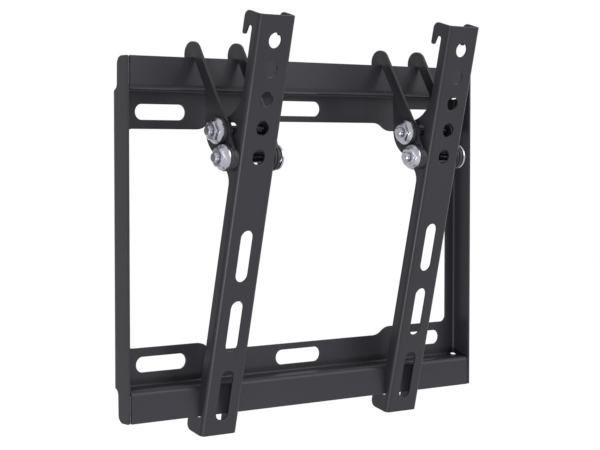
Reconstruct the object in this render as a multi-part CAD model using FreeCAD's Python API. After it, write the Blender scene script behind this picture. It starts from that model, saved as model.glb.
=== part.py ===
import FreeCAD, Part
import math
import os
from FreeCAD import Placement, Rotation, Vector

# Tilting wall bracket for a flat screen: one folded wall plate, and two channel arms that
# hang on its top lip by pairs of hook plates and tilt about their pivot bolts.
# Frame: +X to the right seen from the room, +Y into the wall, +Z up.
# The origin is the centre of the wall plate's back face. All sizes are millimetres.

# Wall plate
plate_sheet = 1.5
plate_bend_inside = 1.5
plate_width = 259.0
plate_height = 200.0
plate_depth = 15.0
lip_height = 18.0
lip_end_gap = 0.8
window_width = 242.6
window_side_height = 121.0
window_step_height = 4.9
window_step_centre = 66.8
window_step_radius = 11.0
window_corner = 4.0
wall_slot_length = 34.0
wall_slot_height = 8.7
side_slot_spacing_x = 196.6
side_slot_spacing_z = 139.8
middle_slot_spacing_z = 146.6
flange_step_height = 162.4
flange_step_corner = 1.0
flange_step_fillet = 3.7
flange_setback = 5.1
flange_back_corner = 4.5
flange_front_corner = 1.0
relief_radius = 2.5

# Where the two arms hang, and how they stand
arm_spacing = 139.0
tilt_forward = 13.2
tilt_range = 26.0
pivot_from_wall = 45.2
pivot_height = 44.9
clamp_radius = 15.6
clamp_angle = 22.4

# Arm channel, measured from its two ends and back from its front face
arm_sheet = 1.2
arm_bend_inside = 1.5
arm_width = 24.8
arm_top_above_pivot = 80.3
arm_front_drop = 0.55
pivot_behind_front = 7.75
arm_upper_depth = 6.2
arm_lower_depth = 7.45
screw_hole = 8.5
screw_hole_count = 5
screw_hole_pitch = 16.0
screw_hole_from_top = 14.4
screw_slot_count = 3
screw_slot_length = 29.5
screw_slot_pitch = 40.5
screw_slot_from_bottom = 23.6
ear_end_radius = 6.8
ear_pivot_radius = 8.9
ear_upper_fillet = 20.0
ear_lower_fillet = 9.0
foot_depth = 15.0
foot_height = 7.75
foot_corner = 4.0
foot_top_corner = 2.0
stop_clearance = 0.3
foot_clearance = 0.6
notch_corner = 1.0
hook_back = 13.9
hook_corner = 3.8
hook_drop = 13.3
hook_tip_width = 2.8
hook_tip_corner = 1.2
hook_throat_height = 7.95
hook_throat_width = 3.2
hook_throat_corner = 1.4

# Hook plates
hook_sheet = 2.0
hook_plate_gap = 1.6
ear_disc_radius = 7.1
ear_disc_from_wall = 13.0
ear_disc_above_lip = 2.0
neck_angle = 31.0
neck_width = 6.4
plate_back_edge = 25.75
plate_back_corner = 4.0
sweep_behind_pivot = 2.65
sweep_below_pivot = 0.4
pivot_boss_radius = 7.5
clamp_boss_radius = 8.3
web_half_width = 7.0
prong_drop = 9.0
prong_corner = 2.5
lip_play = 0.3
hook_seat_gap = 0.1

# Fasteners, metric M6
bolt_radius = 2.95
bolt_length = 41.0
bolt_point = 0.7
hole_clearance = 0.05
slot_clearance = 0.35
slot_end_play = 0.7
across_flats = 10.0
flange_radius = 7.1
flange_thickness = 1.2
skirt_height = 1.5
head_height = 5.5
nut_height = 4.8
hex_chamfer = 0.25
hex_chamfer_angle = 30.0
washer_radius = 7.5
washer_thickness = 1.8
spacer_radius = 7.0
spacer_play = 0.05

# Sizes that follow from the ones above
half_width = plate_width / 2
half_height = plate_height / 2
flange_step = flange_step_height / 2
ledge_face = half_height - lip_height
lip_half_length = half_width - plate_sheet - lip_end_gap
hole_radius = bolt_radius + hole_clearance
slot_half_width = bolt_radius + slot_clearance
hook_inner = arm_width / 2 + hook_plate_gap
hook_outer = hook_inner + hook_sheet
hook_middle = hook_inner + hook_sheet / 2
spacer_thickness = hook_plate_gap - 2 * spacer_play
spacer_middle = arm_width / 2 + hook_plate_gap / 2
arm_clamp_angle = clamp_angle + tilt_forward
ear_radius = clamp_radius + ear_end_radius
pivot = Vector(0, -pivot_from_wall, pivot_height)
clamp = pivot + Vector(0, clamp_radius * math.sin(math.radians(clamp_angle)),
                       clamp_radius * math.cos(math.radians(clamp_angle)))


def unit(angle):
    """Direction in an outline's plane, turned from its second axis towards its first."""
    return math.sin(math.radians(angle)), math.cos(math.radians(angle))


def upright(a, b):
    """A point of a side outline: a runs back along Y, b up along Z."""
    return Vector(0, a, b)


def flat(a, b):
    """A point of a level outline: a runs along X, b back along Y."""
    return Vector(a, b, 0)


def arc(centre, radius, start, end, plane=upright):
    """Arc about a centre, from one direction angle to another."""
    points = []
    for angle in (start, (start + end) / 2, end):
        sideways, along = unit(angle)
        points.append(plane(centre[0] + radius * sideways, centre[1] + radius * along))
    return Part.Arc(*points).toShape()


def path(corners, plane=upright):
    """Straight runs joined by tangent arcs: each corner is its two coordinates and a radius."""
    points = [plane(a, b) for a, b, _ in corners]
    edges = []
    start = points[0]
    for before, corner, after, (_, _, radius) in zip(points, points[1:], points[2:], corners[1:]):
        end = corner
        leave = corner
        if radius > 0:
            back = (before - corner).normalize()
            ahead = (after - corner).normalize()
            half_turn = back.getAngle(ahead) / 2
            end = corner + back * (radius / math.tan(half_turn))
            leave = corner + ahead * (radius / math.tan(half_turn))
            inward = (back + ahead).normalize()
            middle = corner + inward * (radius / math.sin(half_turn) - radius)
        if (end - start).Length > 1e-6:
            edges.append(Part.LineSegment(start, end).toShape())
        if radius > 0:
            edges.append(Part.Arc(end, middle, leave).toShape())
        start = leave
    edges.append(Part.LineSegment(start, points[-1]).toShape())
    return edges


def closed(corners, plane=upright):
    """A closed outline with rounded corners, as a face."""
    first = corners[0]
    second = corners[1]
    middle = ((first[0] + second[0]) / 2, (first[1] + second[1]) / 2, 0)
    return Part.Face(Part.Wire(path([middle] + corners[1:] + [first, middle], plane)))


def folded_section(corners, thickness, inside, plane):
    """Section of a folded sheet: the corners run along one surface, with the sheet on their right."""
    surface = []
    reverse = []
    last = len(corners) - 1
    for index, corner in enumerate(corners):
        here = Vector(*corner, 0)
        before = Vector(*corners[max(index - 1, 0)], 0)
        after = Vector(*corners[min(index + 1, last)], 0)
        run_in = (here - before) if index > 0 else (after - here)
        run_out = (after - here) if index < last else (here - before)
        run_in.normalize()
        run_out.normalize()
        right_in = Vector(run_in.y, -run_in.x, 0)
        right_out = Vector(run_out.y, -run_out.x, 0)
        mitre = here + (right_in + right_out) * (thickness / (1 + right_in.dot(right_out)))
        radii = (inside, inside + thickness)
        if run_in.x * run_out.y < run_in.y * run_out.x:
            radii = (inside + thickness, inside)
        if index in (0, last):
            radii = (0, 0)
        surface.append((here.x, here.y, radii[0]))
        reverse.insert(0, (mitre.x, mitre.y, radii[1]))
    edges = path(surface, plane)
    edges.append(Part.LineSegment(plane(*surface[-1][:2]), plane(*reverse[0][:2])).toShape())
    edges += path(reverse, plane)
    edges.append(Part.LineSegment(plane(*reverse[-1][:2]), plane(*surface[0][:2])).toShape())
    return Part.Face(Part.Wire(edges))


def across(face, low, high):
    """Extrude a side outline along X, from low to high."""
    moved = face.copy()
    moved.translate(Vector(low, 0, 0))
    return moved.extrude(Vector(high - low, 0, 0))


def rod(x_low, x_high, centre, radius):
    """A round bar along X about a point of the side view."""
    return Part.makeCylinder(radius, x_high - x_low, Vector(x_low, centre[0], centre[1]), Vector(1, 0, 0))


def long_hole(length, height, depth):
    """Cutter for a round-ended hole: it runs along X and goes through along Y, centred."""
    radius = height / 2
    straight = length / 2 - radius
    bar = Part.makeBox(2 * straight, depth, height, Vector(-straight, -depth / 2, -radius))
    for side in (-1, 1):
        end = Part.makeCylinder(radius, depth, Vector(side * straight, -depth / 2, 0), Vector(0, 1, 0))
        bar = bar.fuse(end)
    return bar


def wall_window():
    """Cutter for the window: lower at both sides, behind the arms, and taller in the middle."""
    side_x = window_width / 2
    side_z = window_side_height / 2
    middle_z = side_z + window_step_height
    steepest = math.acos(1 - window_step_height / 2 / window_step_radius)
    reach = window_step_radius * (math.sin(steepest) - math.tan(steepest / 2))
    inner_x = window_step_centre - reach
    outer_x = window_step_centre + reach

    def level(a, b):
        return Vector(a, -2 * plate_sheet, b)

    quarter = [(side_x, side_z, window_corner), (outer_x, side_z, window_step_radius),
               (inner_x, middle_z, window_step_radius)]
    outline = quarter
    outline = outline + [(-x, z, radius) for x, z, radius in reversed(outline)]
    outline = outline + [(x, -z, radius) for x, z, radius in reversed(outline)]
    return closed(outline, level).extrude(Vector(0, 3 * plate_sheet, 0))


def wall_slots():
    """Cutters for the six screw slots: one in each corner and two in the middle."""
    places = [(0, z_sign * middle_slot_spacing_z / 2) for z_sign in (-1, 1)]
    for x_sign in (-1, 1):
        for z_sign in (-1, 1):
            places.append((x_sign * side_slot_spacing_x / 2, z_sign * side_slot_spacing_z / 2))
    cutters = []
    for x, z in places:
        slot = long_hole(wall_slot_length, wall_slot_height, 3 * plate_sheet)
        slot.translate(Vector(x, 0, z))
        cutters.append(slot)
    return cutters


def corner_reliefs():
    """Cutters for the round reliefs at the ledges' ends, where they meet the flanges."""
    cutters = []
    for x in (half_width - plate_sheet, plate_sheet - half_width):
        for z in (flange_step, -half_height):
            cutters.append(Part.makeCylinder(relief_radius, half_height - flange_step,
                                             Vector(x, flange_step_fillet - flange_setback, z)))
    return cutters


def make_wall_plate():
    """One folded sheet: window, top and bottom ledges with lips, and full-height side flanges."""
    back = -plate_sheet
    side_section = folded_section([(-plate_depth, -half_height), (-plate_depth, -ledge_face),
                                   (back, -ledge_face), (back, ledge_face),
                                   (-plate_depth, ledge_face), (-plate_depth, half_height)],
                                  plate_sheet, plate_bend_inside, upright)
    ledges = across(side_section, -lip_half_length, lip_half_length).cut(corner_reliefs())
    level_section = folded_section([(-half_width, -plate_depth), (-half_width, 0), (half_width, 0),
                                    (half_width, -plate_depth)], plate_sheet, plate_bend_inside, flat)
    level_section.translate(Vector(0, 0, -half_height))
    channel = level_section.extrude(Vector(0, 0, plate_height))
    side_outline = closed([(-flange_setback, flange_step, flange_step_fillet),
                           (-flange_setback, half_height, flange_back_corner),
                           (-plate_depth, half_height, flange_front_corner),
                           (-plate_depth, -half_height, flange_front_corner),
                           (-flange_setback, -half_height, flange_back_corner),
                           (-flange_setback, -flange_step, flange_step_fillet),
                           (0, -flange_step, flange_step_corner), (0, flange_step, flange_step_corner)])
    channel = channel.common(across(side_outline, -half_width, half_width))
    plate = ledges.fuse(channel)
    plate = plate.cut([wall_window()] + wall_slots())
    return plate.removeSplitter()


def ear_edges():
    """Back edge of an arm's flange round the pivot and the curved slot, from bottom to top."""
    centre = (pivot_behind_front, 0)
    slot_back = arm_clamp_angle + slot_end_play
    sideways, along = unit(slot_back)
    slot_end = (centre[0] + clamp_radius * sideways, centre[1] + clamp_radius * along)
    lower_x = arm_lower_depth + ear_lower_fillet
    lower_reach = ear_pivot_radius + ear_lower_fillet
    lower_drop = math.sqrt(lower_reach ** 2 - (lower_x - centre[0]) ** 2)
    upper_x = arm_upper_depth + ear_upper_fillet
    upper_reach = ear_radius + ear_upper_fillet
    upper_rise = math.sqrt(upper_reach ** 2 - (upper_x - centre[0]) ** 2)
    leave_lower = 180 - math.degrees(math.asin((lower_x - centre[0]) / lower_reach))
    enter_upper = math.degrees(math.asin((upper_x - centre[0]) / upper_reach))
    slant = slot_back + math.degrees(math.acos((ear_pivot_radius - ear_end_radius) / clamp_radius))
    sideways, along = unit(slant)
    line_start = upright(centre[0] + ear_pivot_radius * sideways, centre[1] + ear_pivot_radius * along)
    line_end = upright(slot_end[0] + ear_end_radius * sideways, slot_end[1] + ear_end_radius * along)
    edges = [arc((lower_x, -lower_drop), ear_lower_fillet, 270, 180 + leave_lower),
             arc(centre, ear_pivot_radius, leave_lower, slant),
             Part.LineSegment(line_start, line_end).toShape(),
             arc(slot_end, ear_end_radius, slant, slot_back),
             arc(centre, ear_radius, slot_back, enter_upper),
             arc((upper_x, upper_rise), ear_upper_fillet, 180 + enter_upper, 270)]
    return edges, -lower_drop, upper_rise


def from_room(y, z):
    """A point of the bracket's side view, in the arm's own outline before it is tilted."""
    sideways, along = unit(tilt_forward)
    back = y - pivot.y
    up = z - pivot.z
    return pivot_behind_front + back * along + up * sideways, up * along - back * sideways


def arm_foot():
    """The notch's inner corner, the notch's top, the foot's top and the arm's lower end."""
    stop_line = -plate_depth - stop_clearance
    inner_a, inner_b = from_room(stop_line, -half_height - foot_clearance)
    high_a, high_b = from_room(stop_line, 0)
    slope = math.tan(math.radians(tilt_forward))
    notch_top = inner_b + (arm_lower_depth - inner_a) * (high_b - inner_b) / (high_a - inner_a)
    foot_top = inner_b - (foot_depth - inner_a) * slope
    return (inner_a, inner_b), notch_top, foot_top, foot_top - foot_height


def arm_outline():
    """Side of an arm: a runs back from the front face, b up from the pivot."""
    ear, lower, upper = ear_edges()
    inner, notch_top, foot_top, bottom = arm_foot()
    top = arm_top_above_pivot
    throat_top = top - hook_throat_height
    throat_back = arm_upper_depth + hook_throat_width
    tip = top - hook_drop
    rest = path([(arm_upper_depth, upper, 0),
                 (arm_upper_depth, throat_top, hook_throat_corner),
                 (throat_back, throat_top, hook_throat_corner),
                 (hook_back - hook_tip_width, tip, hook_tip_corner),
                 (hook_back, tip, hook_tip_corner),
                 (hook_back, top, hook_corner),
                 (0, top - arm_front_drop, 0),
                 (0, bottom, 0),
                 (foot_depth, bottom, foot_corner),
                 (foot_depth, foot_top, foot_top_corner),
                 (inner[0], inner[1], notch_corner),
                 (arm_lower_depth, notch_top, 0),
                 (arm_lower_depth, lower, 0)])
    return Part.Face(Part.Wire(ear + rest))


def arm_holes():
    """Cutters for the round holes and the upright slots in an arm's front face."""
    cutters = []
    through = 4 * arm_sheet
    bottom = arm_foot()[3]
    for index in range(screw_hole_count):
        height = arm_top_above_pivot - screw_hole_from_top - index * screw_hole_pitch
        cutters.append(Part.makeCylinder(screw_hole / 2, through, Vector(0, -through / 2, height),
                                         Vector(0, 1, 0)))
    for index in range(screw_slot_count):
        slot = long_hole(screw_slot_length, screw_hole, through)
        slot.rotate(Vector(0, 0, 0), Vector(0, 1, 0), 90)
        slot.translate(Vector(0, 0, bottom + screw_slot_from_bottom + index * screw_slot_pitch))
        cutters.append(slot)
    return cutters


def clamp_slot():
    """Cutter for the curved slot that the clamp bolt runs in, through both flanges."""
    centre = (pivot_behind_front, 0)
    high = arm_clamp_angle + slot_end_play
    low = arm_clamp_angle - tilt_range - slot_end_play
    inner = clamp_radius - slot_half_width
    outer = clamp_radius + slot_half_width
    ends = []
    for angle in (low, high):
        sideways, along = unit(angle)
        ends.append((centre[0] + clamp_radius * sideways, clamp_radius * along))
    outline = Part.Wire([arc(centre, outer, low, high), arc(ends[1], slot_half_width, high, high + 180),
                         arc(centre, inner, high, low),
                         arc(ends[0], slot_half_width, low + 180, low + 360)])
    return across(Part.Face(outline), -arm_width, arm_width)


def make_arm():
    """Channel arm: front face with the screw holes, flanges with the ear, the hook and the foot."""
    half = arm_width / 2
    legs = max(pivot_behind_front + ear_radius, foot_depth, hook_back)
    bottom = arm_foot()[3]
    section = folded_section([(half, legs), (half, 0), (-half, 0), (-half, legs)], arm_sheet,
                             arm_bend_inside, flat)
    section.translate(Vector(0, 0, bottom))
    channel = section.extrude(Vector(0, 0, arm_top_above_pivot - bottom))
    arm = channel.common(across(arm_outline(), -half, half))
    arm = arm.cut(arm_holes() + [clamp_slot(), rod(-half, half, (pivot_behind_front, 0), hole_radius)])
    arm.translate(Vector(0, -pivot_behind_front, 0))
    arm.rotate(Vector(0, 0, 0), Vector(1, 0, 0), tilt_forward)
    arm.translate(pivot)
    return arm


def hook_plate_outline():
    """Side of a hook plate: an ear over the lip, a slanting neck and two bosses for the bolts."""
    lean_y, lean_z = unit(neck_angle)
    ear_y = -ear_disc_from_wall
    ear_z = half_height + ear_disc_above_lip
    front_y = ear_y - ear_disc_radius * lean_z
    front_z = ear_z + ear_disc_radius * lean_y
    rear_y = front_y + neck_width * lean_z
    rear_z = front_z - neck_width * lean_y
    down = (clamp.y - front_y) * -lean_y + (clamp.z - front_z) * -lean_z
    low_y = front_y - down * lean_y
    low_z = front_z - down * lean_z
    back_y = -plate_back_edge
    back_z = rear_z + (back_y - rear_y) * lean_z / lean_y
    sweep = back_y - pivot.y - sweep_behind_pivot
    sweep_z = pivot.z - sweep_below_pivot
    front = [web_half_width * part for part in unit(clamp_angle - 90)]
    neck = closed([(front_y, front_z, 0), (low_y, low_z, 0), (clamp.y, clamp.z, 0), (pivot.y, pivot.z, 0),
                   (pivot.y, sweep_z, 0), (back_y, sweep_z, sweep),
                   (back_y, back_z, plate_back_corner), (rear_y, rear_z, 0)])
    web = closed([(clamp.y + front[0], clamp.z + front[1], 0), (pivot.y + front[0], pivot.z + front[1], 0),
                  (pivot.y, pivot.z, 0), (clamp.y, clamp.z, 0)])
    return neck, web, (ear_y, ear_z), (rear_y, rear_z), (back_y, back_z)


def make_hook_plate():
    """Flat plate that hangs on the top lip, with the clamp bolt's hole and the pivot's."""
    neck, web, ear, rear, back = hook_plate_outline()
    low = -hook_sheet / 2
    high = hook_sheet / 2
    roof = half_height + hook_seat_gap
    notch_front = -plate_depth - lip_play
    notch_back = -plate_depth + plate_sheet + lip_play
    prong_back = ear[0] + ear_disc_radius
    prong_end = half_height - prong_drop
    meet = rear[1] + (notch_front - rear[0]) * (back[1] - rear[1]) / (back[0] - rear[0])
    throat = closed([(notch_back, roof, 0), (notch_front, roof, 0), (notch_front, meet, 0),
                     (back[0], back[1], 0), (back[0], prong_end - ear_disc_radius, 0),
                     (notch_back, prong_end - ear_disc_radius, 0)])
    prong = closed([(notch_back, prong_end, prong_corner), (notch_back, ear[1], 0), (prong_back, ear[1], 0),
                    (prong_back, prong_end, prong_corner)])
    plate = across(neck, low, high)
    plate = plate.fuse([across(web, low, high), rod(low, high, ear, ear_disc_radius),
                        rod(low, high, (clamp.y, clamp.z), clamp_boss_radius),
                        rod(low, high, (pivot.y, pivot.z), pivot_boss_radius)])
    plate = plate.cut(across(throat, -hook_sheet, hook_sheet))
    plate = plate.fuse(across(prong, low, high))
    plate = plate.cut([rod(-hook_sheet, hook_sheet, (clamp.y, clamp.z), hole_radius),
                       rod(-hook_sheet, hook_sheet, (pivot.y, pivot.z), hole_radius)])
    return plate.removeSplitter()


def flanged_hex(face, height, outward):
    """A flange, a skirt and a hexagon on the X axis, standing outward from the face that bears."""
    edge = face + outward * flange_thickness
    direction = Vector(outward, 0, 0)
    points = []
    for index in range(7):
        sideways, along = unit(60 * index + 30)
        radius = across_flats / math.sqrt(3)
        points.append(Vector(face, radius * sideways, radius * along))
    bar = Part.Face(Part.makePolygon(points)).extrude(direction * height)
    narrow = across_flats / 2 - hex_chamfer
    wide = narrow + height / math.tan(math.radians(hex_chamfer_angle))
    bar = bar.common(Part.makeCone(wide, narrow, height, Vector(face, 0, 0), direction))
    flange = rod(min(face, edge), max(face, edge), (0, 0), flange_radius)
    skirt = Part.makeCone(flange_radius, across_flats / 2, skirt_height, Vector(edge, 0, 0), direction)
    return bar.fuse([flange, skirt])


def ring(x_low, x_high, radius):
    """A flat ring on the X axis with a bolt's running hole."""
    return rod(x_low, x_high, (0, 0), radius).cut(rod(x_low, x_high, (0, 0), hole_radius))


def make_bolt():
    """Flange bolt on the X axis, with its head against the right hook plate."""
    end = hook_outer - bolt_length
    shank = rod(end + bolt_point, hook_outer, (0, 0), bolt_radius)
    point = Part.makeCone(bolt_radius - bolt_point, bolt_radius, bolt_point, Vector(end, 0, 0),
                          Vector(1, 0, 0))
    return shank.fuse([point, flanged_hex(hook_outer, head_height, 1)]).removeSplitter()


def make_nut():
    """Flange nut on the X axis, with its face against the left washer."""
    face = -hook_outer - washer_thickness
    bore = rod(face - nut_height, face, (0, 0), hole_radius)
    return flanged_hex(face, nut_height, -1).cut(bore).removeSplitter()


def export(name, shape, offset):
    """Write one named part, moved from the origin to its place."""
    placed = shape.copy()
    placed.translate(offset)
    placed.exportStep("parts/" + name + ".step")


os.makedirs("parts", exist_ok=True)

arm_shape = make_arm()
hook_plate_shape = make_hook_plate()
bolt_shape = make_bolt()
nut_shape = make_nut()
washer_shape = ring(-hook_outer - washer_thickness, -hook_outer, washer_radius)
spacer_shape = ring(-spacer_thickness / 2, spacer_thickness / 2, spacer_radius)

export("wall_plate", make_wall_plate(), Vector(0, 0, 0))
for side, arm_x in (("left", -arm_spacing / 2), ("right", arm_spacing / 2)):
    at_arm = Vector(arm_x, 0, 0)
    export(side + "_arm", arm_shape, at_arm)
    for plate_side, plate_x in (("left", -hook_middle), ("right", hook_middle)):
        name = side + "_arm_" + plate_side + "_hook_plate"
        export(name, hook_plate_shape, at_arm + Vector(plate_x, 0, 0))
    for joint, centre in (("pivot", pivot), ("clamp", clamp)):
        at_joint = at_arm + centre
        name = side + "_arm_" + joint
        export(name + "_bolt", bolt_shape, at_joint)
        export(name + "_nut", nut_shape, at_joint)
        export(name + "_washer", washer_shape, at_joint)
        export(name + "_left_spacer", spacer_shape, at_joint - Vector(spacer_middle, 0, 0))
        export(name + "_right_spacer", spacer_shape, at_joint + Vector(spacer_middle, 0, 0))
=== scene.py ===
import math

import bmesh
import bpy
from mathutils import Euler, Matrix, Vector


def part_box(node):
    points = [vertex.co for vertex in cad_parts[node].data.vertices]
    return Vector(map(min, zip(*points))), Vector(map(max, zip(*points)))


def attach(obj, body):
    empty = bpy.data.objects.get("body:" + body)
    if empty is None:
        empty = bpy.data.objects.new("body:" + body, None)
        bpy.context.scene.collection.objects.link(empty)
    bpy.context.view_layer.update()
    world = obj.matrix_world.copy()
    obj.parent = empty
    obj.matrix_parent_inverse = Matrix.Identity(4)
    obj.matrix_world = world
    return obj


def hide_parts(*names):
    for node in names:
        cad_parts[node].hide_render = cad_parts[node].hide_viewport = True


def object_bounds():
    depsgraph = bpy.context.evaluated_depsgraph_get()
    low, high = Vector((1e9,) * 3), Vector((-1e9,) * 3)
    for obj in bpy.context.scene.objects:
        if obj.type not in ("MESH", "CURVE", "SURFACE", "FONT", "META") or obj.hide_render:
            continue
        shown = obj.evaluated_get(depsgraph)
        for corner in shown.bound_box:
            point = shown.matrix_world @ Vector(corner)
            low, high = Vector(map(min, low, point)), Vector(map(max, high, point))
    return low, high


bl_info = {
    "name": "Tilting Screen Bracket",
    "version": (1, 0, 0),
    "blender": (4, 5, 0),
    "location": "3D View > Sidebar > Bracket",
    "description": "Finishes the folded sheets, bolts and nuts of a tilting wall bracket",
    "category": "Add Mesh",
}

SIDES = ("left", "right")
JOINTS = ("pivot", "clamp")

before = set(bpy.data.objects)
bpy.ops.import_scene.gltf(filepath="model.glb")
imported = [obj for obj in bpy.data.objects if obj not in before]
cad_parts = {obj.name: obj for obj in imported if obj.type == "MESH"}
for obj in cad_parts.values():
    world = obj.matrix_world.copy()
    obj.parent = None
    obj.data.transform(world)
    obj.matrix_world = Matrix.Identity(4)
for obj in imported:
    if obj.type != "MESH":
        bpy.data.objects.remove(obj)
cad_low, cad_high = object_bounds()


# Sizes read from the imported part

def bearing_faces():
    """Lengths along X from the faces that a left arm's bolts and nuts bear on, and their radius."""
    right_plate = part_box("left_arm_right_hook_plate")
    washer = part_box("left_arm_pivot_washer")
    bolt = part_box("left_arm_pivot_bolt")
    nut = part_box("left_arm_pivot_nut")
    return {
        "shank_length": right_plate[1].x - bolt[0].x,
        "nut_height": washer[0].x - nut[0].x,
        "flange_radius": (nut[1].z - nut[0].z) / 2,
    }


faces = bearing_faces()
# Middle and half width of an arm, which bound the painted shade on the shanks inside the arms
ARM_MARGIN = 0.002
arm_low, arm_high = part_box("right_arm")
arm_middle = (arm_low.x + arm_high.x) / 2
arm_half_width = (arm_high.x - arm_low.x) / 2 + ARM_MARGIN


# Node trees

def socket_of(item):
    """The socket behind a link, a plain socket or a node's first output."""
    if isinstance(item, Value):
        return item.socket
    if isinstance(item, bpy.types.Node):
        return item.outputs[0]
    return item


class Value:
    """A number socket; an expression on it adds the Math nodes that work it out."""

    def __init__(self, tree, socket):
        self.tree = tree
        self.socket = socket

    def math(self, operation, *terms):
        node = self.tree.nodes.new("ShaderNodeMath")
        node.operation = operation
        for slot, term in zip(node.inputs, terms):
            if isinstance(term, (int, float)):
                slot.default_value = term
            else:
                self.tree.links.new(socket_of(term), slot)
        return Value(self.tree, node.outputs[0])

    def __add__(self, other):
        return self.math("ADD", self, other)

    def __radd__(self, other):
        return self.math("ADD", other, self)

    def __sub__(self, other):
        return self.math("SUBTRACT", self, other)

    def __rsub__(self, other):
        return self.math("SUBTRACT", other, self)

    def __mul__(self, other):
        return self.math("MULTIPLY", self, other)

    def __truediv__(self, other):
        return self.math("DIVIDE", self, other)

    def __mod__(self, other):
        return self.math("FLOORED_MODULO", self, other)

    def least(self, other):
        return self.math("MINIMUM", self, other)

    def most(self, other):
        return self.math("MAXIMUM", self, other)

    def unit_range(self):
        return self.least(1.0).most(0.0)

    def cosine(self):
        return self.math("COSINE", self)

    def sine(self):
        return self.math("SINE", self)

    def size(self):
        return self.math("ABSOLUTE", self)


class Nodes:
    """Adds nodes to one tree: a type, its settings, then the values or links of its sockets."""

    def __init__(self, tree):
        self.tree = tree

    def add(self, kind, settings=None, sockets=None):
        node = self.tree.nodes.new(kind)
        for name, setting in (settings or {}).items():
            setattr(node, name, setting)
        for name, value in (sockets or {}).items():
            slot = node.inputs[name]
            if isinstance(value, (Value, bpy.types.NodeSocket, bpy.types.Node)):
                self.tree.links.new(socket_of(value), slot)
            else:
                slot.default_value = value
        return node

    def value(self, node, name=0):
        return Value(self.tree, node.outputs[name])

    def noise(self, place, scale, detail=2.0, roughness=0.5):
        node = self.add("ShaderNodeTexNoise", {"noise_dimensions": "3D"},
                        {"Vector": place, "Scale": scale, "Detail": detail, "Roughness": roughness})
        return self.value(node, "Fac")

    def mixed(self, share, first, second):
        node = self.add("ShaderNodeMix", {"data_type": "RGBA"}, {0: share, 6: first, 7: second})
        return node.outputs[2]

    def ramp(self, share, stops):
        node = self.add("ShaderNodeValToRGB", None, {"Fac": share})
        ramp = node.color_ramp
        while len(ramp.elements) < len(stops):
            ramp.elements.new(0.5)
        for element, (position, level) in zip(ramp.elements, stops):
            element.position = position
            element.color = (level, level, level, 1.0)
        return self.value(node, "Color")


def new_material(name):
    """An empty node material, with its node helper and its output node."""
    material = bpy.data.materials.new(name)
    material.use_nodes = True
    material.node_tree.nodes.clear()
    nodes = Nodes(material.node_tree)
    output = nodes.add("ShaderNodeOutputMaterial")
    return material, nodes, output


def tint(colour, factor):
    """A colour made lighter or darker, with its alpha."""
    return tuple(min(1.0, part * factor) for part in colour[:3]) + (1.0,)


# Shares and tints of the coats; frequencies are per metre

COAT_CLOUD = 18.0
COAT_SHADES = (0.93, 1.07)
COAT_SPECK = 0.35
COAT_SPECK_TINT = 1.45
COAT_WEAR_START = 0.52
COAT_WEAR_GAIN = 9.0
COAT_WEAR_TINT = 2.6
COAT_GLOSS_SPREAD = 0.16
COAT_CLOUD_SPREAD = 0.06
COAT_SPECULAR = 0.24
ZINC_STAIN = 260.0
ZINC_GRAIN = 5200.0
ZINC_TURNING = (9000.0, 350.0, 350.0)
ZINC_SHADES = (1.06, 0.86)
ZINC_DULL_TINT = 0.72
ZINC_DULL_SHARE = 0.4
ZINC_STAIN_SPREAD = 0.22
ZINC_TURNING_SPREAD = 0.12
ZINC_TURNING_SHARE = 0.6
# Painted shade on the shanks inside the arms: how sharply it sets in, per metre
ZINC_PAINTED_SHADE_BLEND = 2000.0
NYLON_GRAIN = 2600.0
NYLON_CLOUD = 140.0
NYLON_SHADES = (0.85, 1.2)
NYLON_SPREAD = 0.2
NYLON_SPECULAR = 0.4


def powder_coat(name, look, seed):
    """Baked powder coat: a faint orange peel, a fine grain, and edges rubbed a little lighter."""
    material, nodes, output = new_material(name)
    place = nodes.add("ShaderNodeTexCoord").outputs["Object"]
    shifted = nodes.add("ShaderNodeMapping", None, {"Vector": place, "Location": (seed, -seed, seed)})
    peel = nodes.noise(shifted, 1 / look.peel_size, 1.0)
    grain = nodes.noise(shifted, 1 / look.grain_size, 3.0, 0.6)
    cloud = nodes.noise(shifted, COAT_CLOUD, 2.0)
    base = nodes.mixed(nodes.ramp(cloud, [(0.35, 0.0), (0.65, 1.0)]),
                       tint(look.colour, COAT_SHADES[0]), tint(look.colour, COAT_SHADES[1]))
    speck = nodes.ramp(grain, [(0.35, 0.0), (0.7, 1.0)])
    base = nodes.mixed(speck * COAT_SPECK, base, tint(look.colour, COAT_SPECK_TINT))
    edge = nodes.value(nodes.add("ShaderNodeNewGeometry"), "Pointiness")
    rubbed = ((edge - COAT_WEAR_START) * COAT_WEAR_GAIN).unit_range() * (0.4 + grain)
    base = nodes.mixed(rubbed * look.edge_wear, base, tint(look.colour, COAT_WEAR_TINT))
    rough = look.roughness + (grain - 0.5) * COAT_GLOSS_SPREAD + (cloud - 0.5) * COAT_CLOUD_SPREAD
    bump = nodes.add("ShaderNodeBump", None, {"Strength": 1.0, "Distance": look.peel_depth, "Height": peel})
    fine = nodes.add("ShaderNodeBump", None, {"Strength": 1.0, "Distance": look.grain_depth,
                                              "Height": grain, "Normal": bump})
    surface = nodes.add("ShaderNodeBsdfPrincipled", None, {
        "Base Color": base, "Roughness": rough, "Normal": fine, "Specular IOR Level": COAT_SPECULAR})
    nodes.tree.links.new(surface.outputs[0], output.inputs["Surface"])
    return material


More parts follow.
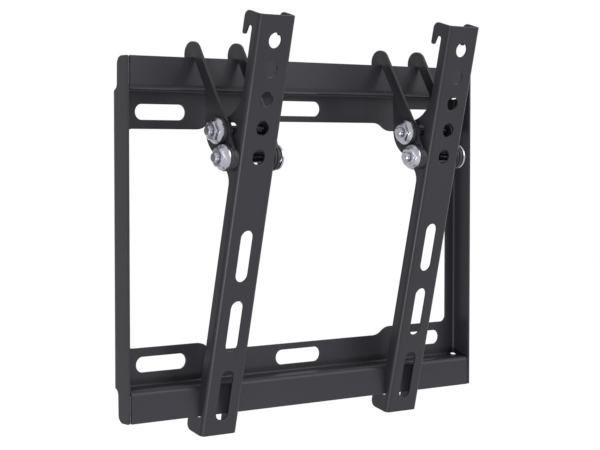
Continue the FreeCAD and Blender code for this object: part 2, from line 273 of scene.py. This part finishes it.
def bright_zinc(name, look):
    """Zinc plating with turning marks, stains and fine dull spots; painted shade darkens the shanks inside
    an arm.
    """
    material, nodes, output = new_material(name)
    place = nodes.add("ShaderNodeTexCoord").outputs["Object"]
    stain = nodes.noise(place, ZINC_STAIN, 3.0)
    grain = nodes.noise(place, ZINC_GRAIN, 2.0, 0.6)
    stretched = nodes.add("ShaderNodeMapping", None, {"Vector": place, "Scale": ZINC_TURNING})
    turned = nodes.noise(stretched, 1.0, 2.0)
    mottled = nodes.ramp(stain, [(0.35, 0.0), (0.68, 1.0)])
    base = nodes.mixed(mottled, tint(look.colour, ZINC_SHADES[0]),
                       tint(look.colour, ZINC_SHADES[1]))
    dull = nodes.ramp(grain, [(0.45, 0.0), (0.8, 1.0)]) * ZINC_DULL_SHARE
    base = nodes.mixed(dull, base, tint(look.colour, ZINC_DULL_TINT))
    rough = look.roughness + (stain - 0.5) * ZINC_STAIN_SPREAD + (turned - 0.5) * ZINC_TURNING_SPREAD
    # Painted shade: the shanks inside an arm are drawn darker, standing in for the shade inside the channel
    across = nodes.value(nodes.add("ShaderNodeSeparateXYZ", None, {"Vector": place}), "X")
    from_arm = (across.size() - arm_middle).size()
    inside = ((arm_half_width - from_arm) * ZINC_PAINTED_SHADE_BLEND).unit_range()
    base = nodes.mixed(inside, base, tint(look.colour, look.painted_shank_shade))
    height = turned * ZINC_TURNING_SHARE + grain * (1 - ZINC_TURNING_SHARE)
    bump = nodes.add("ShaderNodeBump", None, {"Strength": 0.6, "Distance": look.mark_depth,
                                              "Height": height})
    surface = nodes.add("ShaderNodeBsdfPrincipled", None, {
        "Base Color": base, "Roughness": rough, "Metallic": 1.0, "Normal": bump})
    nodes.tree.links.new(surface.outputs[0], output.inputs["Surface"])
    return material


def moulded_nylon(name, look):
    """Black nylon of the washers: matte, with a fine moulded texture."""
    material, nodes, output = new_material(name)
    place = nodes.add("ShaderNodeTexCoord").outputs["Object"]
    grain = nodes.noise(place, NYLON_GRAIN, 3.0, 0.6)
    cloud = nodes.noise(place, NYLON_CLOUD, 2.0)
    base = nodes.mixed(cloud, tint(look.colour, NYLON_SHADES[0]), tint(look.colour, NYLON_SHADES[1]))
    rough = look.roughness + (grain - 0.5) * NYLON_SPREAD
    bump = nodes.add("ShaderNodeBump", None, {"Strength": 0.5, "Distance": look.mark_depth,
                                              "Height": grain})
    surface = nodes.add("ShaderNodeBsdfPrincipled", None, {
        "Base Color": base, "Roughness": rough, "Normal": bump, "Specular IOR Level": NYLON_SPECULAR})
    nodes.tree.links.new(surface.outputs[0], output.inputs["Surface"])
    return material


# Meshes

STEP_INSIDE = 0.1235
STEP_DEPTH = 0.008
STEP_LOW = 0.0785
STEP_HIGH = 0.086
MERGE_CAD = 1e-6
FLAT_ANGLE = math.radians(0.4)
EASED_ANGLE = math.radians(38)
SHEET_SHARP = 50
FASTENER_SHARP = 28


def smooth_by_angle(mesh, degrees):
    """Shades a mesh smooth, apart from edges that turn more than an angle."""
    for polygon in mesh.polygons:
        polygon.use_smooth = True
    mesh.set_sharp_from_angle(angle=math.radians(degrees))


def settle(holder, name):
    """A new object with the finished mesh of one that has modifiers; the holder is removed."""
    bpy.context.view_layer.update()
    graph = bpy.context.evaluated_depsgraph_get()
    mesh = bpy.data.meshes.new_from_object(holder.evaluated_get(graph), depsgraph=graph)
    mesh.name = name
    bpy.data.objects.remove(holder)
    piece = bpy.data.objects.new(name, mesh)
    bpy.context.scene.collection.objects.link(piece)
    return piece


def hand_over(piece, body, slot_name, *nodes):
    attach(piece, body)
    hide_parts(*nodes)


def beside_flange_step(point):
    """Whether a point of the wall plate lies where a ledge's relief meets a flange's step."""
    beside = abs(point.x) > STEP_INSIDE and point.y > -STEP_DEPTH
    return beside and STEP_LOW < abs(point.z) < STEP_HIGH


def mark_sharp_edges(shape, least_turn, left_alone):
    """Gives every edge that turns enough a bevel weight, apart from those left alone."""
    weights = shape.edges.layers.float.new("bevel_weight_edge")
    for edge in shape.edges:
        turns = len(edge.link_faces) == 2 and edge.calc_face_angle() > least_turn
        middle = (edge.verts[0].co + edge.verts[1].co) / 2
        edge[weights] = 1.0 if turns and not left_alone(middle) else 0.0


def eased_copy(node, name, width, segments, left_alone=lambda point: False):
    """A CAD node's shape with its edges eased, as deburring and a coat leave them."""
    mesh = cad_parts[node].data.copy()
    mesh.materials.clear()
    shape = bmesh.new()
    shape.from_mesh(mesh)
    bmesh.ops.remove_doubles(shape, verts=shape.verts, dist=MERGE_CAD)
    bmesh.ops.dissolve_limit(shape, angle_limit=FLAT_ANGLE, verts=shape.verts, edges=shape.edges)
    mark_sharp_edges(shape, EASED_ANGLE, left_alone)
    shape.to_mesh(mesh)
    shape.free()
    holder = bpy.data.objects.new(name + "_source", mesh)
    bpy.context.scene.collection.objects.link(holder)
    bevel = holder.modifiers.new("Eased edges", "BEVEL")
    bevel.limit_method = "WEIGHT"
    bevel.width = width
    bevel.segments = segments
    bevel.use_clamp_overlap = False
    eased = settle(holder, name + "_eased")
    smooth_by_angle(eased.data, SHEET_SHARP)
    flat = eased.modifiers.new("Flat faces", "WEIGHTED_NORMAL")
    flat.mode = "FACE_AREA"
    flat.weight = 100
    flat.keep_sharp = True
    return settle(eased, name)


# What a user would change

class CoatLook(bpy.types.PropertyGroup):
    colour: bpy.props.FloatVectorProperty(
        name="Colour", description="Colour of the powder coat", subtype="COLOR", size=4,
        default=(0.025, 0.0242, 0.0305, 1.0), min=0.0, max=1.0)
    roughness: bpy.props.FloatProperty(
        name="Roughness", description="How matte the coat is", default=0.38, min=0.0, max=1.0,
        subtype="FACTOR")
    peel_size: bpy.props.FloatProperty(
        name="Orange peel size", description="Width of the coat's soft waves", default=0.0016,
        unit="LENGTH")
    peel_depth: bpy.props.FloatProperty(
        name="Orange peel depth", description="Depth of the coat's soft waves", default=0.00003,
        unit="LENGTH")
    grain_size: bpy.props.FloatProperty(
        name="Grain size", description="Width of the coat's fine grain", default=0.0003,
        unit="LENGTH")
    grain_depth: bpy.props.FloatProperty(
        name="Grain depth", description="Depth of the coat's fine grain", default=0.000006,
        unit="LENGTH")
    edge_wear: bpy.props.FloatProperty(
        name="Edge wear", description="How much lighter the edges are rubbed", default=0.35,
        min=0.0, max=1.0, subtype="FACTOR")
    edge_radius: bpy.props.FloatProperty(
        name="Edge radius", description="How far the sheets' edges are eased", default=0.00022,
        unit="LENGTH")
    edge_segments: bpy.props.IntProperty(
        name="Edge segments", description="Steps across an eased edge", default=2, min=1, max=4)


class ZincLook(bpy.types.PropertyGroup):
    colour: bpy.props.FloatVectorProperty(
        name="Colour", description="Colour of the zinc plating", subtype="COLOR", size=4,
        default=(0.43, 0.43, 0.485, 1.0), min=0.0, max=1.0)
    roughness: bpy.props.FloatProperty(
        name="Roughness", description="How dull the plating is", default=0.30, min=0.0, max=1.0,
        subtype="FACTOR")
    # Painted shade: how bright the shanks inside the arms are drawn beside the rest
    painted_shank_shade: bpy.props.FloatProperty(
        name="Shank shade", description="How bright the shanks inside the arms are beside the rest",
        default=0.2, min=0.0, max=1.0, subtype="FACTOR")
    mark_depth: bpy.props.FloatProperty(
        name="Mark depth", description="Depth of the turning marks", default=0.00001,
        unit="LENGTH")


class NylonLook(bpy.types.PropertyGroup):
    colour: bpy.props.FloatVectorProperty(
        name="Colour", description="Colour of the nylon", subtype="COLOR", size=4,
        default=(0.022, 0.022, 0.025, 1.0), min=0.0, max=1.0)
    roughness: bpy.props.FloatProperty(
        name="Roughness", description="How matte the nylon is", default=0.55, min=0.0, max=1.0,
        subtype="FACTOR")
    mark_depth: bpy.props.FloatProperty(
        name="Texture depth", description="Depth of the moulded texture", default=0.00001,
        unit="LENGTH")
    edge_radius: bpy.props.FloatProperty(
        name="Edge radius", description="How far the washers' rims are rounded", default=0.0003,
        unit="LENGTH")


class FastenerSizes(bpy.types.PropertyGroup):
    across_flats: bpy.props.FloatProperty(
        name="Across flats", description="Width of the hexagons", default=0.010, unit="LENGTH")
    flange_radius: bpy.props.FloatProperty(
        name="Flange radius", description="Radius of the flanges under the hexagons",
        default=faces["flange_radius"], unit="LENGTH")
    flange_thickness: bpy.props.FloatProperty(
        name="Flange thickness", description="Height of the flange's upright rim", default=0.0012,
        unit="LENGTH")
    head_rim: bpy.props.FloatProperty(
        name="Head rim", description="Height of the upright rim of a bolt's head", default=0.0024,
        unit="LENGTH")
    head_lift: bpy.props.FloatProperty(
        name="Head lift", description="Height of the narrow collar under a bolt's head",
        default=0.0011, unit="LENGTH")
    skirt_height: bpy.props.FloatProperty(
        name="Skirt height", description="Height of the cone between flange and hexagon",
        default=0.0015, unit="LENGTH")
    chamfer: bpy.props.FloatProperty(
        name="Chamfer", description="How far the hexagon's top is turned down inside its flats",
        default=0.0006, unit="LENGTH")
    head_height: bpy.props.FloatProperty(
        name="Head height", description="Height of a bolt's head; lower than the CAD's",
        default=0.0038, unit="LENGTH")
    nut_height: bpy.props.FloatProperty(
        name="Nut height", description="Height of a nut with its flange",
        default=faces["nut_height"], unit="LENGTH")
    shank_radius: bpy.props.FloatProperty(
        name="Shank radius", description="Radius over the thread", default=0.00294, unit="LENGTH")
    shank_length: bpy.props.FloatProperty(
        name="Shank length", description="Length of a bolt under its head",
        default=faces["shank_length"], unit="LENGTH")
    point: bpy.props.FloatProperty(
        name="Point", description="How far the bolt's end is chamfered", default=0.0007,
        unit="LENGTH")
    pitch: bpy.props.FloatProperty(
        name="Thread pitch", description="Step of the thread", default=0.001, unit="LENGTH")
    thread_depth: bpy.props.FloatProperty(
        name="Thread depth", description="Depth of the thread's groove", default=0.00055,
        unit="LENGTH")


class StageLook(bpy.types.PropertyGroup):
    camera_place: bpy.props.FloatVectorProperty(
        name="Camera place", description="Where the camera stands", subtype="TRANSLATION", size=3,
        default=(-0.6305, -0.7796, 0.0491))
    camera_turn: bpy.props.FloatProperty(
        name="Camera turn", description="Turn of the camera from the wall's normal, to the right",
        subtype="ANGLE", default=math.radians(39.072))
    camera_drop: bpy.props.FloatProperty(
        name="Camera drop", description="How far the camera looks down", subtype="ANGLE",
        default=math.radians(2.552))
    lens: bpy.props.FloatProperty(
        name="Lens", description="Focal length on a 36 mm wide frame, in mm", default=101.38)
    floor_drop: bpy.props.FloatProperty(
        name="Floor drop", description="How far the floor is under the bracket", default=0.45,
        unit="LENGTH")
    surround: bpy.props.FloatProperty(
        name="Surround light", description="Light from all round", default=0.34, min=0.0)
    key: bpy.props.FloatProperty(
        name="Key light", description="Power of the large lamp in front", default=14.0, min=0.0)
    glint: bpy.props.FloatProperty(
        name="Glint light", description="Power of the small lamp under the camera, for the bends",
        default=4.4, min=0.0)


# Folded sheets

class BRACKET_OT_sheets(bpy.types.Operator):
    """Wall plate, arms and hook plates with eased edges and a powder coat"""
    bl_idname = "bracket.sheets"
    bl_label = "Folded Sheets"

    def execute(self, context):
        look = context.scene.bracket_coat
        sheets = [("wall_plate", "wall")]
        for side in SIDES:
            sheets.append((side + "_arm", side + "_channel"))
            for plate_side in SIDES:
                sheets.append((side + "_arm_" + plate_side + "_hook_plate", side + "_hanger"))
        for index, (node, body) in enumerate(sheets):
            piece = eased_copy(node, node + "_coated", look.edge_radius, look.edge_segments,
                               beside_flange_step)
            piece.data.materials.append(powder_coat("powder coat " + node, look, 0.13 * index))
            hand_over(piece, body, "black_steel", node)
        return {"FINISHED"}


class BRACKET_OT_washers(bpy.types.Operator):
    """Black washers under the nuts, and spacers between arms and hook plates"""
    bl_idname = "bracket.washers"
    bl_label = "Washers and Spacers"

    def execute(self, context):
        look = context.scene.bracket_nylon
        material = moulded_nylon("moulded nylon", look)
        for side in SIDES:
            for joint in JOINTS:
                for kind in ("washer", "left_spacer", "right_spacer"):
                    node = side + "_arm_" + joint + "_" + kind
                    piece = eased_copy(node, node + "_moulded", look.edge_radius, 3)
                    piece.data.materials.append(material)
                    hand_over(piece, side + "_hanger", "black_plastic", node)
        return {"FINISHED"}


# Bolts and nuts

SIZES = {
    "Across Flats": "across_flats",
    "Flange Radius": "flange_radius",
    "Flange Thickness": "flange_thickness",
    "Skirt Height": "skirt_height",
    "Chamfer": "chamfer",
    "Head Rim": "head_rim",
    "Head Lift": "head_lift",
    "Head Height": "head_height",
    "Nut Height": "nut_height",
    "Shank Radius": "shank_radius",
    "Shank Length": "shank_length",
    "Point": "point",
    "Pitch": "pitch",
    "Thread Depth": "thread_depth",
}
EASE = 0.00025
AROUND = 96
HEX_ROWS = 48
NO_COLLAR = -1.0
COLLAR_SHARE = 0.86
COLLAR_RISE = 8.0
THREAD_ROWS_PER_PITCH = 8
TURN = 2 * math.pi


def new_geometry_tree(name):
    """A geometry tree with the fasteners' sizes as its inputs."""
    tree = bpy.data.node_groups.new(name, "GeometryNodeTree")
    tree.interface.new_socket("Places", in_out="INPUT", socket_type="NodeSocketGeometry")
    for label in SIZES:
        tree.interface.new_socket(label, in_out="INPUT", socket_type="NodeSocketFloat")
    tree.interface.new_socket("Coat", in_out="INPUT", socket_type="NodeSocketMaterial")
    tree.interface.new_socket("Fasteners", in_out="OUTPUT", socket_type="NodeSocketGeometry")
    nodes = Nodes(tree)
    entry = nodes.add("NodeGroupInput")
    sizes = {label: nodes.value(entry, label) for label in SIZES}
    return tree, nodes, entry, sizes


def turned(nodes, rows, shape):
    """A grid rolled round the X axis: shape gives each vertex's radius and place along X."""
    grid = nodes.add("GeometryNodeMeshGrid", None, {
        "Size X": 1.0, "Size Y": 1.0, "Vertices X": AROUND + 1, "Vertices Y": rows + 1})
    parts = nodes.add("ShaderNodeSeparateXYZ", None, {"Vector": nodes.add("GeometryNodeInputPosition")})
    angle = (nodes.value(parts, "X") + 0.5) * TURN
    row = (nodes.value(parts, "Y") + 0.5) * rows
    radius, along = shape(angle, row)
    point = nodes.add("ShaderNodeCombineXYZ", None, {
        "X": along, "Y": radius * angle.cosine(), "Z": radius * angle.sine()})
    moved = nodes.add("GeometryNodeSetPosition", None, {"Geometry": grid.outputs["Mesh"],
                                                        "Position": point})
    return nodes.add("GeometryNodeMergeByDistance", None, {"Geometry": moved, "Distance": 1e-6})


def flanged_hexagon(nodes, sizes, height, rim_top, lift, bore):
    """Collar, flange, skirt and hexagon along +X; a hexagon within the skirt's height is covered."""
    flats = sizes["Across Flats"] / 2
    flange = sizes["Flange Radius"]
    bored = bore is not None
    rows = HEX_ROWS + (3 if bored else 2)

    def shape(angle, row):
        climb = ((row - 1) / HEX_ROWS).unit_range()
        along = height * climb
        sector = (angle % (TURN / 6)) - TURN / 12
        hexagon = flats / sector.cosine()
        crown = flats - sizes["Chamfer"] + (height - along) * math.sqrt(3)
        slope = (flange - flats) / sizes["Skirt Height"]
        rim = (flange - EASE + along).least(flange).least(flange - (along - rim_top) * slope)
        rim = rim.least(flange * COLLAR_SHARE + (along - lift).most(0.0) * COLLAR_RISE)
        outer = rim.most(hexagon.least(crown))
        inside = row.least(1.0) * (HEX_ROWS + 2 - row).unit_range()
        if bored:
            radius = bore + (outer - bore) * inside
            along = along * (HEX_ROWS + 3 - row).unit_range()
        else:
            radius = outer * inside
        return radius, along

    return turned(nodes, rows, shape)


def threaded_shank(nodes, sizes, rows):
    """Round bar from the head's face along -X, with one thread and a chamfered end."""
    length = sizes["Shank Length"]
    full = sizes["Shank Radius"]

    def shape(angle, row):
        share = (row / (rows - 1)).least(1.0)
        along = length * share
        phase = (along / sizes["Pitch"] + angle / TURN) % 1.0
        groove = (1.6 - (phase - 0.5).size() * 4.2).unit_range()
        chamfered = full - sizes["Point"] + (length - along)
        radius = (full - groove * sizes["Thread Depth"]).least(chamfered)
        radius = radius * (rows - row).unit_range()
        return radius, 0.0 - along

    return turned(nodes, rows, shape)


def placed(nodes, entry, shape):
    """The finished tree's end: one copy of the shape at each place, real and with its material."""
    copies = nodes.add("GeometryNodeInstanceOnPoints", None, {"Points": entry.outputs["Places"],
                                                              "Instance": shape})
    real = nodes.add("GeometryNodeRealizeInstances", None, {"Geometry": copies})
    coated = nodes.add("GeometryNodeSetMaterial", None, {"Geometry": real,
                                                         "Material": entry.outputs["Coat"]})
    leave = nodes.add("NodeGroupOutput")
    nodes.tree.links.new(coated.outputs[0], leave.inputs["Fasteners"])


def bolt_tree(sizes_now):
    """Threaded bolts, placed by the face under the head, whose skirt covers its low hexagon."""
    tree, nodes, entry, sizes = new_geometry_tree("Flange Bolts")
    rows = int(sizes_now.shank_length / sizes_now.pitch * THREAD_ROWS_PER_PITCH)
    head = flanged_hexagon(nodes, sizes, sizes["Head Height"], sizes["Head Rim"],
                           sizes["Head Lift"], None)
    shank = threaded_shank(nodes, sizes, rows)
    joined = nodes.add("GeometryNodeJoinGeometry")
    nodes.tree.links.new(head.outputs[0], joined.inputs[0])
    nodes.tree.links.new(shank.outputs[0], joined.inputs[0])
    placed(nodes, entry, joined)
    return tree


def nut_tree(sizes_now):
    """Flange nuts; each is placed by its flange's face and stands along -X."""
    tree, nodes, entry, sizes = new_geometry_tree("Flange Nuts")
    nut = flanged_hexagon(nodes, sizes, sizes["Nut Height"], sizes["Flange Thickness"], NO_COLLAR,
                          sizes["Shank Radius"] - EASE)
    about = nodes.add("GeometryNodeTransform", None, {"Geometry": nut, "Rotation": (0.0, 0.0, math.pi)})
    placed(nodes, entry, about)
    return tree


def fasteners(tree, places, sizes_now, material, name):
    """Runs a tree on a few places and returns its result as a plain mesh object."""
    mesh = bpy.data.meshes.new(name + "_places")
    mesh.from_pydata([tuple(place) for place in places], [], [])
    holder = bpy.data.objects.new(name + "_places", mesh)
    bpy.context.scene.collection.objects.link(holder)
    modifier = holder.modifiers.new(tree.name, "NODES")
    modifier.node_group = tree
    for item in tree.interface.items_tree:
        if item.in_out == "INPUT" and item.name in SIZES:
            modifier[item.identifier] = getattr(sizes_now, SIZES[item.name])
        if item.in_out == "INPUT" and item.name == "Coat":
            modifier[item.identifier] = material
    piece = settle(holder, name)
    shape = bmesh.new()
    shape.from_mesh(piece.data)
    bmesh.ops.remove_doubles(shape, verts=shape.verts, dist=1e-7)
    bmesh.ops.recalc_face_normals(shape, faces=shape.faces)
    shape.to_mesh(piece.data)
    shape.free()
    smooth_by_angle(piece.data, FASTENER_SHARP)
    return piece


class BRACKET_OT_fasteners(bpy.types.Operator):
    """Flange bolts and flange nuts of both arms"""
    bl_idname = "bracket.fasteners"
    bl_label = "Bolts and Nuts"

    def execute(self, context):
        sizes_now = context.scene.bracket_fasteners
        material = bright_zinc("bright zinc", context.scene.bracket_zinc)
        bolts = bolt_tree(sizes_now)
        nuts = nut_tree(sizes_now)
        for side in SIDES:
            heads = []
            backs = []
            for joint in JOINTS:
                low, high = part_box(side + "_arm_" + joint + "_washer")
                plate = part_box(side + "_arm_right_hook_plate")
                centre = (low + high) / 2
                heads.append((plate[1].x, centre.y, centre.z))
                backs.append((low.x, centre.y, centre.z))
            for tree, places, kind in ((bolts, heads, "bolt"), (nuts, backs, "nut")):
                piece = fasteners(tree, places, sizes_now, material, side + "_flange_" + kind + "s")
                hand_over(piece, side + "_hanger", "zinc",
                          *[side + "_arm_" + joint + "_" + kind for joint in JOINTS])
        return {"FINISHED"}


# Stage

WHITE = (1.0, 1.0, 1.0, 1.0)
KEY_SIZE = 1.2
KEY_PLACE = (0.9, -1.3, 0.85)
GLINT_SIZE = 0.12
GLINT_PLACE = (-0.60, -0.72, -0.36)
FLOOR_HALF = 6.0
FLOOR_SHADES = ((0.80, 0.80, 0.80, 1.0), (0.84, 0.84, 0.84, 1.0))
FLOOR_CLOUD = 3.0
FLOOR_WHITE = 0.95
FLOOR_SHADOW = (0.18, 0.18, 0.18, 1.0)
FRAME_WIDTH = 36.0


def area_lamp(name, power, size, place, target):
    """A square soft lamp that faces a point."""
    lamp = bpy.data.lights.new(name, "AREA")
    lamp.energy = power
    lamp.size = size
    holder = bpy.data.objects.new(name, lamp)
    holder.location = place
    holder.rotation_euler = (Vector(target) - Vector(place)).to_track_quat("-Z", "Y").to_euler()
    bpy.context.scene.collection.objects.link(holder)


def seen_share(nodes):
    """1 for rays of the camera, of gloss and through glass, which see the white background."""
    path = nodes.add("ShaderNodeLightPath")
    seen = nodes.value(path, "Is Camera Ray").most(nodes.value(path, "Is Glossy Ray"))
    return seen.most(nodes.value(path, "Is Transmission Ray"))


def white_world(surround):
    """A world that is white to see and grey as a light."""
    world = bpy.data.worlds.new("Studio")
    world.use_nodes = True
    world.node_tree.nodes.clear()
    nodes = Nodes(world.node_tree)
    grey = nodes.add("ShaderNodeBackground", None, {
        "Color": (surround, surround, surround, 1.0), "Strength": 1.0})
    white = nodes.add("ShaderNodeBackground", None, {"Color": WHITE, "Strength": 1.0})
    both = nodes.add("ShaderNodeMixShader", None, {0: seen_share(nodes), 1: grey, 2: white})
    output = nodes.add("ShaderNodeOutputWorld")
    nodes.tree.links.new(both.outputs[0], output.inputs["Surface"])
    return world


def pale_floor():
    """A floor's material: white to see, apart from a faint shadow, and pale as a light."""
    material, nodes, output = new_material("pale floor")
    place = nodes.add("ShaderNodeTexCoord").outputs["Object"]
    pale = nodes.mixed(nodes.noise(place, FLOOR_CLOUD), *FLOOR_SHADES)
    shade = nodes.add("ShaderNodeBsdfDiffuse", None, {"Color": pale})
    lit = nodes.add("ShaderNodeEmission", None, {"Color": WHITE, "Strength": FLOOR_WHITE})
    faint = nodes.add("ShaderNodeBsdfDiffuse", None, {"Color": FLOOR_SHADOW})
    white = nodes.add("ShaderNodeAddShader", None, {0: lit, 1: faint})
    total = nodes.add("ShaderNodeMixShader", None, {0: seen_share(nodes), 1: shade, 2: white})
    nodes.tree.links.new(total.outputs[0], output.inputs["Surface"])
    return material


class BRACKET_OT_stage(bpy.types.Operator):
    """Floor, surround, lamps and camera"""
    bl_idname = "bracket.stage"
    bl_label = "Stage"

    def execute(self, context):
        look = context.scene.bracket_stage
        scene = context.scene
        scene.world = white_world(look.surround)

        height = cad_low.z - look.floor_drop
        mesh = bpy.data.meshes.new("floor")
        mesh.from_pydata([(-FLOOR_HALF, -FLOOR_HALF, height), (FLOOR_HALF, -FLOOR_HALF, height),
                          (FLOOR_HALF, FLOOR_HALF, height), (-FLOOR_HALF, FLOOR_HALF, height)],
                         [], [(0, 1, 2, 3)])
        floor = bpy.data.objects.new("floor", mesh)
        scene.collection.objects.link(floor)
        floor.data.materials.append(pale_floor())

        area_lamp("key", look.key, KEY_SIZE, KEY_PLACE, (0.0, 0.0, 0.0))
        area_lamp("glint", look.glint, GLINT_SIZE, GLINT_PLACE, (0.0, 0.0, 0.0))

        lens = bpy.data.cameras.new("camera")
        lens.sensor_width = FRAME_WIDTH
        lens.lens = look.lens
        lens.clip_start = 0.01
        camera = bpy.data.objects.new("camera", lens)
        camera.location = look.camera_place
        camera.rotation_euler = Euler((math.pi / 2 - look.camera_drop, 0.0, -look.camera_turn))
        scene.collection.objects.link(camera)
        scene.camera = camera
        scene.view_settings.view_transform = "Standard"
        return {"FINISHED"}


class BRACKET_PT_panel(bpy.types.Panel):
    """The bracket's pieces and its stage"""
    bl_label = "Bracket"
    bl_idname = "BRACKET_PT_panel"
    bl_space_type = "VIEW_3D"
    bl_region_type = "UI"
    bl_category = "Bracket"

    def draw(self, context):
        for operator, _ in STEPS:
            self.layout.operator(operator.bl_idname)


STEPS = (
    (BRACKET_OT_sheets, bpy.ops.bracket.sheets),
    (BRACKET_OT_washers, bpy.ops.bracket.washers),
    (BRACKET_OT_fasteners, bpy.ops.bracket.fasteners),
    (BRACKET_OT_stage, bpy.ops.bracket.stage),
)
GROUPS = (
    ("bracket_coat", CoatLook),
    ("bracket_zinc", ZincLook),
    ("bracket_nylon", NylonLook),
    ("bracket_fasteners", FastenerSizes),
    ("bracket_stage", StageLook),
)


def register():
    for name, group in GROUPS:
        bpy.utils.register_class(group)
        setattr(bpy.types.Scene, name, bpy.props.PointerProperty(type=group))
    for operator, _ in STEPS:
        bpy.utils.register_class(operator)
    bpy.utils.register_class(BRACKET_PT_panel)


def unregister():
    bpy.utils.unregister_class(BRACKET_PT_panel)
    for operator, _ in reversed(STEPS):
        bpy.utils.unregister_class(operator)
    for name, group in reversed(GROUPS):
        delattr(bpy.types.Scene, name)
        bpy.utils.unregister_class(group)


def main():
    register()
    for _, run in STEPS:
        run()


if __name__ == "__main__":
    main()
